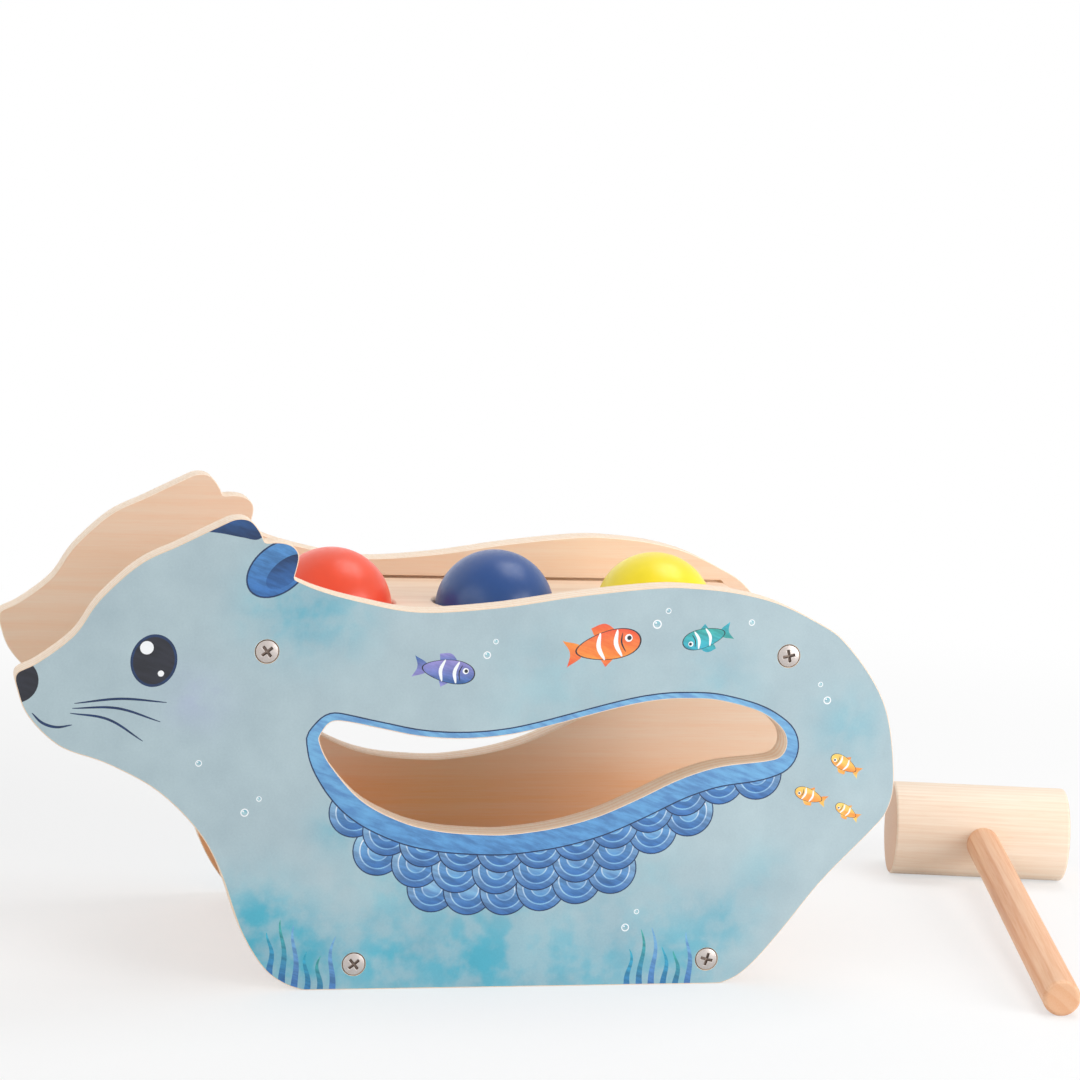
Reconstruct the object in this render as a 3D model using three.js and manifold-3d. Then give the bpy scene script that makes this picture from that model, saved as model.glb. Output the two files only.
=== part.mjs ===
// A wooden pounding toy in the shape of a seal. Two side panels carry a pounding board with three
// balls, and a xylophone slides in on the bottom board below them. A hammer lies beside the toy.
// Millimetres, +Z up, +X towards the tail, -Y towards the front.
// The origin is on the floor, under the middle ball, halfway between the side panels.
import * as THREE from 'three';
import { mergeVertices } from 'three/addons/utils/BufferGeometryUtils.js';
import Module from 'manifold-3d';

const wasm = await Module();
wasm.setup();

// Gaps between pieces
const fitGap = 0.3; // between neighbours that are screwed, glued or seated together
const slideGap = 0.6; // each side of the xylophone, between the side panels

// Side panels
const panelThickness = 12;
const innerWidth = 116; // clear width between the two panels
const noseReach = 77.6; // from the pounding board's head end to the tip of the nose
const earRise = 40; // from the pounding board's top to the tip of the first ear
const backRise = 17.6; // from the pounding board's top to the highest point of the back
const tailReach = 33.7; // from the pounding board's tail end to the tip of the tail
const footRise = 22; // height of the rounded ends of the base
const cutOutDrop = 56.5; // from the pounding board's underside to the lowest edge of the cut-out
const baseHeadInset = 28; // from the pounding board's head end to the head end of the base
const baseTailInset = 29.7; // from the pounding board's tail end to the tail end of the base
const outlineSteps = 3; // straight steps between two points of a panel's outline

// Balls and the rubber rings that grip them
const ballDiameter = 46;
const ballSink = 2.7; // how far a ball's centre lies below the pounding board's top
const ballPlay = 0.6; // between a ball and the wall of its hole
const ringSection = 4.2;
const ringProud = 2.2; // how far a ring stands out of the wall of its hole

// Pounding board
const boardTop = 132;
const holeWeb = 16.3; // wood between two holes
const boardEnd = 20.4; // wood between an outer hole and the end of the board
const ringLip = 3.2; // wood below a ring's groove
const holeChamfer = 1.2;

// Bottom board
const bottomThickness = 18;
const bottomInset = 1; // from the end of the panels' base to the end of the board

// Screws that hold the panels to the boards
const screwHeadDiameter = 8;
const screwShankDiameter = 4;
const screwHeadDepth = 2.6;
const screwRim = 0.6; // straight edge of the head
const screwDome = 0.5; // how far the head stands out of the panel
const screwCrown = 0.6; // where the dome flattens, as a share of the head's radius
const screwCrownRise = 0.75; // the dome's height there, as a share of its full height
const screwBite = 14; // length of the shank inside a board
const screwTip = 2.5;
const recessLength = 4.8; // arms of the cross recess
const recessWidth = 1;
const recessDepth = 1.4;
const upperScrewInset = 10.5; // from the pounding board's end
const upperScrewDrop = 7.4; // below the pounding board's top
const lowerHeadScrewInset = 18.3; // from the head end of the base
const lowerTailScrewInset = 5.8; // from the tail end of the base
const lowerScrewHeight = 9.5;

// Xylophone
const barCount = 8;
const barGap = 3.2;
const barThickness = 2.2;
const barCorner = 2.5;
const barEndSpace = 5; // between the longest bar's end and a side panel
const barStep = 4.4; // how much shorter each bar is than the one before
const barNode = 0.276; // still point of a sounding bar, as a share of its length from the middle
const feltThickness = 1.2;
const feltWidth = 6;
const railWidth = 9;
const railHeadHeight = 10;
const railTailHeight = 4;
const blockGap = 4; // between the end bars and the cross blocks
const headOverhang = 12.5; // how far the xylophone reaches past the head end of the base
const tailOverhang = 8.6; // how far it reaches past the tail end of the base
const headBlockDepth = 12;
const headBlockHeight = 15;
const tailBlockDepth = 8;
const tailBlockHeight = 7.5;
const scoopRadius = 16; // finger scoop in the head block
const scoopDepth = 6;
const pinDiameter = 2.6;
const pinHeadDiameter = 6;
const pinHeadHeight = 1.2;
const pinCrown = 0.75; // where the head flattens, as a share of its radius
const pinCrownRise = 0.8; // the head's height there, as a share of its full height
const pinBite = 2.6; // length of a pin inside its rail

// Hammer
const hammerHeadDiameter = 40;
const hammerHeadLength = 75;
const hammerHeadChamfer = 1.5;
const handleDiameter = 14;
const handleReach = 190; // length of the handle outside the head
const socketFloor = 10; // wood left under the handle's socket in the head
const handleEdge = 1.5; // rounding of the handle's free end
const hammerClear = 96; // from the tail's tip to the middle of the hammer's head
const hammerBack = 85; // from the middle of the toy back to the middle of the hammer's head
const hammerYaw = THREE.MathUtils.degToRad(-12);

// Sides of the round pieces
const ballSides = 28;
const ballRings = 16;
const holeSides = 36;
const ringSides = 30;
const ringFacets = 8;
const screwSides = 12;
const pinSides = 10;
const hammerSides = 36;
const handleSides = 20;
const arcSteps = 4; // half the straight steps of a bar's corner or hole

// Sizes that follow from the ones above
const ballRadius = ballDiameter / 2;
const ballHeight = boardTop - ballSink;
const holeRadius = ballRadius + ballPlay;
const ballPitch = 2 * holeRadius + holeWeb;
const boardLength = 2 * (ballPitch + holeRadius + boardEnd);
const boardHead = -boardLength / 2;
const boardTail = boardLength / 2;
const ringRadius = ringSection / 2;
const ringCentreRadius = holeRadius - ringProud + ringRadius;
const ringReach = ballRadius + ringRadius + fitGap; // from a ball's centre to its ring's section
const ringHeight = ballHeight - Math.sqrt(ringReach ** 2 - ringCentreRadius ** 2);
const grooveHalf = ringRadius + fitGap;
const boardBottom = ringHeight - grooveHalf - ringLip;
const boardThickness = boardTop - boardBottom;
const boardWidth = innerWidth - 2 * fitGap;
const toyDepth = innerWidth + 2 * panelThickness;
const baseHead = boardHead + baseHeadInset;
const baseTail = boardTail - baseTailInset;

// Colours and finishes
function finish(color, roughness, metalness = 0) {
  return new THREE.MeshStandardMaterial({ color, roughness, metalness });
}

const printedWood = finish(0xa9c7d2, 0.55);
const birch = finish(0xe8c9a6, 0.6);
const paleBeech = finish(0xf6dfc4, 0.6);
const beech = finish(0xe6b990, 0.6);
const rubber = finish(0x3a3836, 0.9);
const nickel = finish(0xc9c4bc, 0.35, 1);
const felt = finish(0xb9322e, 1);
const ballColours = { red: 0xf4573f, blue: 0x2a4f8f, yellow: 0xf5e11c };
const barColours = [0xd8402f, 0xe8822a, 0xf2cc2e, 0x6fb344, 0x2f9f8f, 0x3a86c8, 0x2b4c8c, 0x7a4f9e];

// Solids: closed meshes that can be joined and cut
function toSolid(geometry) {
  const bare = geometry.clone();
  bare.deleteAttribute('normal');
  bare.deleteAttribute('uv');
  const merged = mergeVertices(bare);
  return new wasm.Manifold(new wasm.Mesh({
    numProp: 3,
    vertProperties: new Float32Array(merged.attributes.position.array),
    triVerts: new Uint32Array(merged.index.array),
  }));
}

function toGeometry(solid) {
  const mesh = solid.getMesh();
  const geometry = new THREE.BufferGeometry();
  geometry.setAttribute('position', new THREE.BufferAttribute(mesh.vertProperties, 3));
  geometry.setIndex(new THREE.BufferAttribute(mesh.triVerts, 1));
  geometry.computeVertexNormals();
  return geometry;
}

function cut(geometry, tools) {
  let solid = toSolid(geometry);
  for (const tool of tools) {
    solid = solid.subtract(toSolid(tool));
  }
  return toGeometry(solid);
}

// A turned solid about the Y axis from [radius, height] pairs, lowest first
function turned(profile, sides) {
  const points = profile.map(([radius, height]) => new THREE.Vector2(radius, height));
  return new THREE.LatheGeometry(points, sides);
}

// The same, standing up along Z
function turnedUp(profile, sides) {
  return turned(profile, sides).rotateX(Math.PI / 2);
}

// A flat shape drawn in X and Z, given a thickness towards -Y
function slab(shape, thickness, curveSegments = outlineSteps) {
  const geometry = new THREE.ExtrudeGeometry(shape, { depth: thickness, bevelEnabled: false, curveSegments });
  return geometry.rotateX(Math.PI / 2);
}

function box(length, width, height, x, y, z) {
  return new THREE.BoxGeometry(length, width, height).translate(x, y, z);
}

const toy = new THREE.Group();

function add(name, geometry, material, parent = toy) {
  const mesh = new THREE.Mesh(geometry, material);
  mesh.name = name;
  parent.add(mesh);
  return mesh;
}

// Points of the panel's outline, as shares of its named reaches from the pounding board and the base
const point = (x, z) => new THREE.Vector2(x, z);
const overHead = (reach, rise) => point(boardHead - reach * noseReach, boardTop + rise * earRise);
const throat = (reach, share) => point(boardHead - reach * noseReach, share * boardTop);
const overBoard = (share, rise) => point(share * boardTail, boardTop + rise * backRise);
const overTail = (reach, rise) => point(boardTail + reach * tailReach, boardTop + rise * backRise);
const rump = (reach, share) => point(boardTail + reach * tailReach, share * boardTop);
const footHead = (reach, rise) => point(baseHead - reach * footRise, rise * footRise);
const footTail = (reach, rise) => point(baseTail + reach * footRise, rise * footRise);
const inCutOut = (share, drop) => point(share * boardTail, boardBottom - drop * cutOutDrop);
const tailTip = rump(1, 0.588);

function panelShape() {
  const shape = new THREE.Shape();
  // along the throat to the tip of the nose
  shape.moveTo(baseHead, 0);
  shape.splineThru([
    footHead(0.327, 0.123), footHead(0.677, 0.4), footHead(1.064, 1.032), throat(0.048, 0.34),
    throat(0.159, 0.452), throat(0.351, 0.562), throat(0.584, 0.636), throat(0.793, 0.682),
    throat(0.941, 0.766), throat(0.997, 0.85), throat(1, 0.872),
  ]);
  // over the forehead to the first ear
  shape.splineThru([
    throat(0.987, 0.885), overHead(0.893, -0.285), overHead(0.74, -0.045), overHead(0.635, 0.258),
    overHead(0.457, 0.585), overHead(0.28, 0.76), overHead(0.102, 0.935), overHead(0.026, 1),
    overHead(-0.041, 0.985), overHead(-0.089, 0.875), overHead(-0.107, 0.788),
  ]);
  // the second ear
  shape.splineThru([
    overHead(-0.175, 0.798), overHead(-0.236, 0.768), overHead(-0.267, 0.685), overHead(-0.258, 0.55),
    overHead(-0.246, 0.47),
  ]);
  // along the back and round the tail to the base
  shape.splineThru([
    overHead(-0.367, 0.375), overHead(-0.555, 0.28), overBoard(-0.395, 0.432), overBoard(-0.123, 0.545),
    overBoard(0.152, 0.807), overBoard(0.43, 1), overBoard(0.571, 0.994), overTail(-0.914, 0.903),
    overTail(-0.451, 0.693), overTail(0.021, 0.284), overTail(0.309, -0.074), rump(0.682, 0.877),
    rump(0.896, 0.761), tailTip, rump(0.944, 0.501), rump(0.772, 0.442), rump(0.234, 0.298),
    footTail(1.1, 1), footTail(0.645, 0.445), footTail(0.305, 0.136), footTail(0, 0),
  ]);
  shape.closePath();
  shape.holes.push(cutOutPath());
  return shape;
}

// The wavy cut-out that shows the balls as they drop
function cutOutPath() {
  const path = new THREE.Path();
  const leftTip = inCutOut(-0.719, 0.368);
  path.moveTo(leftTip.x, leftTip.y);
  // along the lower edge to the tail, then back along the upper edge
  path.splineThru([
    inCutOut(-0.684, 0.517), inCutOut(-0.572, 0.761), inCutOut(-0.433, 0.906), inCutOut(-0.294, 0.975),
    inCutOut(-0.121, 1), inCutOut(-0.016, 0.991), inCutOut(0.123, 0.95), inCutOut(0.261, 0.876),
    inCutOut(0.399, 0.761), inCutOut(0.538, 0.634), inCutOut(0.678, 0.55), inCutOut(0.84, 0.512),
    inCutOut(0.896, 0.478), inCutOut(0.913, 0.389), inCutOut(0.889, 0.292), inCutOut(0.81, 0.188),
    inCutOut(0.665, 0.115), inCutOut(0.558, 0.103), inCutOut(0.451, 0.113), inCutOut(0.312, 0.163),
    inCutOut(0.035, 0.303), inCutOut(-0.101, 0.354), inCutOut(-0.239, 0.372), inCutOut(-0.377, 0.356),
    inCutOut(-0.513, 0.306), inCutOut(-0.633, 0.262), inCutOut(-0.684, 0.271), leftTip,
  ]);
  return path;
}

// Places of the panel screws in X and Z
const upperScrewHeight = boardTop - upperScrewDrop;
const screwPlaces = [
  { name: 'upper_head', x: boardHead + upperScrewInset, z: upperScrewHeight },
  { name: 'upper_tail', x: boardTail - upperScrewInset, z: upperScrewHeight },
  { name: 'lower_head', x: baseHead + lowerHeadScrewInset, z: lowerScrewHeight },
  { name: 'lower_tail', x: baseTail - lowerTailScrewInset, z: lowerScrewHeight },
];

// A screw along Y with its head's rim at the origin, or the hole that clears it
const screwEnd = -(panelThickness + screwBite);
const screwHeadRadius = screwHeadDiameter / 2;
const screwShankRadius = screwShankDiameter / 2;

function screwGeometry() {
  const blank = turned([
    [0, screwEnd], [screwShankRadius, screwEnd + screwTip], [screwShankRadius, -screwHeadDepth],
    [screwHeadRadius, -screwRim], [screwHeadRadius, 0],
    [screwHeadRadius * screwCrown, screwDome * screwCrownRise], [0, screwDome],
  ], screwSides);
  const slotMiddle = screwDome - recessDepth / 2;
  const slotHeight = recessDepth + screwDome;
  return cut(blank, [
    new THREE.BoxGeometry(recessLength, slotHeight, recessWidth).translate(0, slotMiddle, 0),
    new THREE.BoxGeometry(recessWidth, slotHeight, recessLength).translate(0, slotMiddle, 0),
  ]);
}

function screwHole() {
  const shank = screwShankRadius + fitGap;
  const head = screwHeadRadius + fitGap;
  return turned([
    [0, screwEnd - fitGap], [shank, screwEnd - fitGap], [shank, -screwHeadDepth - fitGap],
    [head, -screwRim - fitGap], [head, screwDome + fitGap], [0, screwDome + fitGap],
  ], screwSides);
}

// On the front the screw's head points to -Y
const sides = [
  { name: 'front', turn: Math.PI, face: -toyDepth / 2 },
  { name: 'back', turn: 0, face: toyDepth / 2 },
];

function screwHolesIn(side, places) {
  return places.map(({ x, z }) => screwHole().rotateX(side.turn).translate(x, side.face, z));
}

function addSidePanel(side) {
  const nearFace = Math.max(side.face, side.face + Math.sign(-side.face) * panelThickness);
  const blank = slab(panelShape(), panelThickness).translate(0, nearFace, 0);
  add(`${side.name}_side_panel`, cut(blank, screwHolesIn(side, screwPlaces)), printedWood);
}

function addScrews(side) {
  for (const place of screwPlaces) {
    const screw = add(`${side.name}_screw_${place.name}`, screwGeometry(), nickel);
    screw.rotation.x = side.turn;
    screw.position.set(place.x, side.face, place.z);
  }
}

// Balls from the head to the tail
const balls = [
  { name: 'red', x: -ballPitch },
  { name: 'blue', x: 0 },
  { name: 'yellow', x: ballPitch },
];

// A hole for a ball with the groove for its ring
function ballHole(x) {
  const overcut = holeChamfer;
  const grooveRadius = ringCentreRadius + ringRadius + fitGap;
  const hole = turnedUp([
    [0, boardBottom - overcut], [holeRadius, boardBottom - overcut],
    [holeRadius, ringHeight - grooveHalf], [grooveRadius, ringHeight - grooveHalf],
    [grooveRadius, ringHeight + grooveHalf], [holeRadius, ringHeight + grooveHalf],
    [holeRadius, boardTop - holeChamfer], [holeRadius + holeChamfer + overcut, boardTop + overcut],
    [0, boardTop + overcut],
  ], holeSides);
  return hole.translate(x, 0, 0);
}

function addPoundingBoard() {
  const blank = box(boardLength, boardWidth, boardThickness, 0, 0, boardTop - boardThickness / 2);
  const upper = screwPlaces.slice(0, 2);
  const tools = balls.map(({ x }) => ballHole(x));
  for (const side of sides) {
    tools.push(...screwHolesIn(side, upper));
  }
  add('pounding_board', cut(blank, tools), birch);
}

function addBalls() {
  for (const { name, x } of balls) {
    const sphere = new THREE.SphereGeometry(ballRadius, ballSides, ballRings).rotateX(Math.PI / 2);
    const ball = add(`ball_${name}`, sphere, finish(ballColours[name], 0.4));
    ball.position.set(x, 0, ballHeight);
    const ring = new THREE.TorusGeometry(ringCentreRadius, ringRadius, ringFacets, ringSides);
    add(`grip_ring_${name}`, ring, rubber).position.set(x, 0, ringHeight);
  }
}

function addBottomBoard() {
  const head = baseHead + bottomInset;
  const tail = baseTail - bottomInset;
  const blank = box(tail - head, boardWidth, bottomThickness, (head + tail) / 2, 0, bottomThickness / 2);
  const lower = screwPlaces.slice(2);
  const tools = [];
  for (const side of sides) {
    tools.push(...screwHolesIn(side, lower));
  }
  add('bottom_board', cut(blank, tools), birch);
}

// Xylophone: cross blocks and rails carry felt strips, and the bars lie on the felt
const trayFloor = bottomThickness + fitGap;
const trayWidth = innerWidth - 2 * slideGap;
const trayStart = baseHead - headOverhang;
const headBlockEnd = trayStart + headBlockDepth;
const tailBlockStart = baseTail + tailOverhang - tailBlockDepth;
const barRoom = tailBlockStart - headBlockEnd - 2 * blockGap;
const barWidth = (barRoom - (barCount - 1) * barGap) / barCount;
const barPitch = barWidth + barGap;
const longestBar = innerWidth - 2 * barEndSpace;
const barLength = (index) => longestBar - index * barStep;
const firstBar = headBlockEnd + blockGap + barWidth / 2;
const lastBar = firstBar + (barCount - 1) * barPitch;
const splay = Math.atan((barNode * (barLength(0) - barLength(barCount - 1))) / (lastBar - firstBar));
const railEndGap = fitGap + (railWidth / 2) * Math.sin(splay);
const railStart = headBlockEnd + railEndGap;
const railLength = (tailBlockStart - railEndGap - railStart) / Math.cos(splay);
const railStartOffset = barNode * barLength(0) + (firstBar - railStart) * Math.tan(splay);
const slope = Math.atan((railHeadHeight - railTailHeight) / railLength);
const feltBottom = fitGap;
const barBottom = feltBottom + feltThickness + fitGap;
const pinHeadBottom = barBottom + barThickness + fitGap;
const pinRadius = pinDiameter / 2;
const barPlace = (index) => (firstBar + index * barPitch - railStart) / Math.cos(slope);
const barIndices = Array.from({ length: barCount }, (unused, index) => index);

// The sloping deck on the rails' tops: its origin is where the rails begin
const deck = new THREE.Group();
deck.position.set(railStart, 0, trayFloor + railHeadHeight);
deck.rotation.y = slope;
deck.updateMatrix();
toy.add(deck);

const rails = [
  { name: 'front', way: -1 },
  { name: 'back', way: 1 },
];

const pinPlace = (index, way) => [barPlace(index), way * barNode * barLength(index)];

function addRail({ name, way }) {
  const wedge = new THREE.Shape([
    point(0, 0), point(railLength, 0), point(railLength, railTailHeight), point(0, railHeadHeight),
  ]);
  const rail = slab(wedge, railWidth).translate(0, railWidth / 2, 0);
  rail.rotateZ(-way * splay).translate(railStart, way * railStartOffset, trayFloor);
  const boreRadius = pinRadius + fitGap;
  const bores = barIndices.map((index) => {
    const bore = turnedUp([
      [0, -pinBite - fitGap], [boreRadius, -pinBite - fitGap], [boreRadius, fitGap], [0, fitGap],
    ], pinSides);
    const [x, y] = pinPlace(index, way);
    return bore.translate(x, y, 0).applyMatrix4(deck.matrix);
  });
  add(`xylophone_${name}_rail`, cut(rail, bores), beech);
}

function roundHole(x, y, radius) {
  return new THREE.Path().absarc(x, y, radius, 0, 2 * Math.PI, true);
}

function roundedRectangle(length, width, corner) {
  const [x, y] = [length / 2, width / 2];
  const shape = new THREE.Shape();
  shape.absarc(x - corner, y - corner, corner, 0, Math.PI / 2);
  shape.absarc(corner - x, y - corner, corner, Math.PI / 2, Math.PI);
  shape.absarc(corner - x, corner - y, corner, Math.PI, 1.5 * Math.PI);
  shape.absarc(x - corner, corner - y, corner, 1.5 * Math.PI, 2 * Math.PI);
  return shape;
}

function addFelt({ name, way }) {
  const strip = new THREE.Shape([
    point(0, -feltWidth / 2), point(railLength, -feltWidth / 2),
    point(railLength, feltWidth / 2), point(0, feltWidth / 2),
  ]);
  for (const index of barIndices) {
    strip.holes.push(roundHole(barPlace(index) / Math.cos(splay), 0, pinRadius + fitGap));
  }
  const geometry = new THREE.ExtrudeGeometry(strip, {
    depth: feltThickness, bevelEnabled: false, curveSegments: arcSteps,
  });
  const mesh = add(`xylophone_${name}_felt`, geometry, felt, deck);
  mesh.position.set(0, way * railStartOffset, feltBottom);
  mesh.rotation.z = -way * splay;
}

function addToneBar(index) {
  const length = barLength(index);
  const shape = roundedRectangle(barWidth, length, barCorner);
  for (const { way } of rails) {
    shape.holes.push(roundHole(0, way * barNode * length, pinRadius + fitGap));
  }
  const geometry = new THREE.ExtrudeGeometry(shape, {
    depth: barThickness, bevelEnabled: false, curveSegments: arcSteps,
  });
  const lacquer = finish(barColours[index % barColours.length], 0.3, 0.6);
  const bar = add(`tone_bar_${index + 1}`, geometry, lacquer, deck);
  bar.position.set(barPlace(index), 0, barBottom);
}

function addBarPin(index, { name, way }) {
  const headRadius = pinHeadDiameter / 2;
  const geometry = turnedUp([
    [0, -pinBite], [pinRadius, -pinBite], [pinRadius, pinHeadBottom], [headRadius, pinHeadBottom],
    [headRadius * pinCrown, pinHeadBottom + pinHeadHeight * pinCrownRise],
    [0, pinHeadBottom + pinHeadHeight],
  ], pinSides);
  const [x, y] = pinPlace(index, way);
  add(`bar_pin_${name}_${index + 1}`, geometry, nickel, deck).position.set(x, y, 0);
}

function addCrossBlocks() {
  const headMiddle = trayStart + headBlockDepth / 2;
  const headBlock = box(
    headBlockDepth, trayWidth, headBlockHeight, headMiddle, 0, trayFloor + headBlockHeight / 2,
  );
  const scoop = new THREE.CylinderGeometry(scoopRadius, scoopRadius, 2 * headBlockDepth, handleSides);
  scoop.rotateZ(Math.PI / 2);
  scoop.translate(headMiddle, 0, trayFloor + headBlockHeight + scoopRadius - scoopDepth);
  add('xylophone_head_block', cut(headBlock, [scoop]), beech);
  const tailMiddle = tailBlockStart + tailBlockDepth / 2;
  const tailBlock = box(
    tailBlockDepth, trayWidth, tailBlockHeight, tailMiddle, 0, trayFloor + tailBlockHeight / 2,
  );
  add('xylophone_tail_block', tailBlock, beech);
}

function addXylophone() {
  addCrossBlocks();
  rails.forEach(addRail);
  rails.forEach(addFelt);
  for (const index of barIndices) {
    addToneBar(index);
    rails.forEach((rail) => addBarPin(index, rail));
  }
}

// Hammer: the head lies on its side and the end of the handle touches the floor
function addHammer() {
  const headRadius = hammerHeadDiameter / 2;
  const handleRadius = handleDiameter / 2;
  const half = hammerHeadLength / 2;
  const faceRadius = headRadius - hammerHeadChamfer;
  const headBlank = turned([
    [0, -half], [faceRadius, -half], [headRadius, hammerHeadChamfer - half],
    [headRadius, half - hammerHeadChamfer], [faceRadius, half], [0, half],
  ], hammerSides).rotateZ(Math.PI / 2);
  const socketBottom = socketFloor - headRadius;
  const socket = turned([
    [0, socketBottom - fitGap], [handleRadius + fitGap, socketBottom - fitGap],
    [handleRadius + fitGap, 2 * headRadius], [0, 2 * headRadius],
  ], handleSides);
  const handleEnd = headRadius + handleReach;
  const handle = turned([
    [0, socketBottom], [handleRadius, socketBottom], [handleRadius, handleEnd - handleEdge],
    [handleRadius - handleEdge, handleEnd], [0, handleEnd],
  ], handleSides);
  const lying = new THREE.Group();
  const reach = handleEnd - handleEdge;
  const tilt = Math.asin(headRadius / Math.hypot(reach, handleRadius)) - Math.atan2(handleRadius, reach);
  lying.rotation.x = Math.PI + tilt;
  add('hammer_head', cut(headBlank, [socket]), paleBeech, lying);
  add('hammer_handle', handle, beech, lying);
  const place = new THREE.Group();
  place.position.set(tailTip.x + hammerClear, hammerBack, headRadius);
  place.rotation.z = hammerYaw;
  place.add(lying);
  toy.add(place);
}

sides.forEach(addSidePanel);
addPoundingBoard();
addBalls();
addBottomBoard();
sides.forEach(addScrews);
addXylophone();
addHammer();

export default toy;
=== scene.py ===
import math

import bpy
import numpy as np
from mathutils import Matrix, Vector
from mathutils.geometry import delaunay_2d_cdt


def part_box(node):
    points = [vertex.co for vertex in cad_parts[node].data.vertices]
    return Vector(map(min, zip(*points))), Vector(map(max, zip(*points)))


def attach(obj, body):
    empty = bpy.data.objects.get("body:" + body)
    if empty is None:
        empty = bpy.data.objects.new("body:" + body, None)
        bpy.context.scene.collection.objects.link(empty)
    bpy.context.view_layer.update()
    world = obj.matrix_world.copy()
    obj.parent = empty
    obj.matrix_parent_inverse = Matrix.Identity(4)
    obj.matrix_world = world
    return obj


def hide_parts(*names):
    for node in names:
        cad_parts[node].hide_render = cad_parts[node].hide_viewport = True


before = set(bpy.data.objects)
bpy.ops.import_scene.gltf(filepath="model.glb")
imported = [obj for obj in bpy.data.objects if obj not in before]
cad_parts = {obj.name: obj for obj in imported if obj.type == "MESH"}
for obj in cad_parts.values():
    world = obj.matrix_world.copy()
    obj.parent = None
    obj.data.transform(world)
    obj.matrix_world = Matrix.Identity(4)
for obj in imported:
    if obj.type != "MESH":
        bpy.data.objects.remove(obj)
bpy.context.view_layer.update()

mm = 0.001   # the surfaces below are worked out in millimetres

# Camera at the photograph's viewing angle
camera = dict(lens=100, place=(-241.5, -1114.7, 314.4), turnAside=-13.04, lookDown=7.86, roll=2.81)


def addCamera():
    data = bpy.data.cameras.new("camera")
    data.lens = camera["lens"]
    turn = Matrix.Rotation(math.radians(camera["turnAside"]), 4, "Z")
    tilt = Matrix.Rotation(math.radians(90 - camera["lookDown"]), 4, "X")
    roll = Matrix.Rotation(math.radians(camera["roll"]), 4, "Z")
    holder = bpy.data.objects.new("camera", data)
    holder.matrix_world = Matrix.Translation(np.array(camera["place"]) * mm) @ turn @ tilt @ roll
    bpy.context.scene.collection.objects.link(holder)
    bpy.context.scene.camera = holder


# Reading the frame

def nodeBox(node):
    low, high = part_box(node)
    return np.array(low) / mm, np.array(high) / mm


def nodeCentre(node):
    low, high = nodeBox(node)
    return (low + high) / 2


def meshPoints(mesh):   # in millimetres
    flat = np.empty(3 * len(mesh.vertices))
    mesh.vertices.foreach_get("co", flat)
    return flat.reshape(-1, 3) / mm


def cornerNumbers(mesh):   # the number of the point at each corner of the faces
    numbers = np.empty(len(mesh.loops), int)
    mesh.loops.foreach_get("vertex_index", numbers)
    return numbers


def nodePoints(node):
    return meshPoints(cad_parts[node].data)


def longAxis(node):   # direction in which a slim node's points spread most
    points = nodePoints(node)
    return np.linalg.svd(points - points.mean(0), full_matrices=False)[2][0]


def unit(vector):
    return np.asarray(vector) / np.linalg.norm(vector)


# Flat loops: closed lines of points, with the material on the left hand

def chainLoops(triangles):   # edges that only one triangle has, put in order as loops of point numbers
    starts = triangles.ravel()
    ends = np.roll(triangles, -1, axis=1).ravel()
    span = triangles.max() + 1
    lone = ~np.isin(starts * span + ends, ends * span + starts)
    follow = dict(zip(starts[lone].tolist(), ends[lone].tolist()))
    loops = []
    while follow:
        first, point = follow.popitem()
        loop = [first]
        while point != first:
            loop.append(point)
            point = follow.pop(point)
        loops.append(np.array(loop))
    return sorted(loops, key=len, reverse=True)


def leftNormals(loop):   # at each point, the vector that moves both its edges one unit to the left
    edge = np.roll(loop, -1, axis=0) - loop
    edge /= np.linalg.norm(edge, axis=1, keepdims=True)
    normal = np.stack([-edge[:, 1], edge[:, 0]], 1)
    before = np.roll(normal, 1, axis=0)
    return (normal + before) / (1 + (normal * before).sum(1, keepdims=True))


def alongRim(points, rim):
    # how far the points lie from a rim, and the rim's normals shared out along its edges
    edge = np.roll(rim, -1, axis=0) - rim
    share = np.clip(((points[:, None] - rim) * edge).sum(2) / (edge**2).sum(1), 0, 1)
    gap = np.linalg.norm(rim + share[..., None] * edge - points[:, None], axis=2)
    nearest = gap.argmin(1)
    share = share[np.arange(len(points)), nearest][:, None]
    normal = leftNormals(rim)
    return gap.min(1).max(), (1 - share) * normal[nearest] + share * normal[(nearest + 1) % len(rim)]


def smoothLoop(points, steps, corner=30, closed=True):
    # cubic curve through the points; tangents follow the neighbours, and sharp corners stay sharp
    points = np.asarray(points, float)
    following = np.roll(points, -1, axis=0)
    edge = following - points
    if not closed:
        edge[-1] = edge[-2]
    length = np.linalg.norm(edge, axis=1, keepdims=True)
    ahead = edge / length
    behind = np.roll(ahead, 1, axis=0)
    if not closed:
        behind[0] = ahead[0]
    sharp = (ahead * behind).sum(1, keepdims=True) < math.cos(math.radians(corner))
    jump = length / np.roll(length, 1, axis=0)
    sharp |= np.maximum(jump, 1 / jump) > 8   # the end of a long straight run
    middle = ahead / length + behind / np.roll(length, 1, axis=0)
    middle /= np.linalg.norm(middle, axis=1, keepdims=True) + 1e-9
    leave = np.where(sharp, ahead, middle)[:, None]
    reach = np.roll(np.where(sharp, behind, middle), -1, axis=0)[:, None]
    t = (np.arange(steps) / steps)[None, :, None]
    curve = ((2 * t**3 - 3 * t**2 + 1) * points[:, None] + (3 * t**2 - 2 * t**3) * following[:, None]
             + (t**3 - 2 * t**2 + t) * length[:, None] * leave + (t**3 - t**2) * length[:, None] * reach)
    if closed:
        return curve.reshape(-1, 2)
    return np.concatenate([curve[:-1].reshape(-1, 2), points[-1:]])


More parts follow.
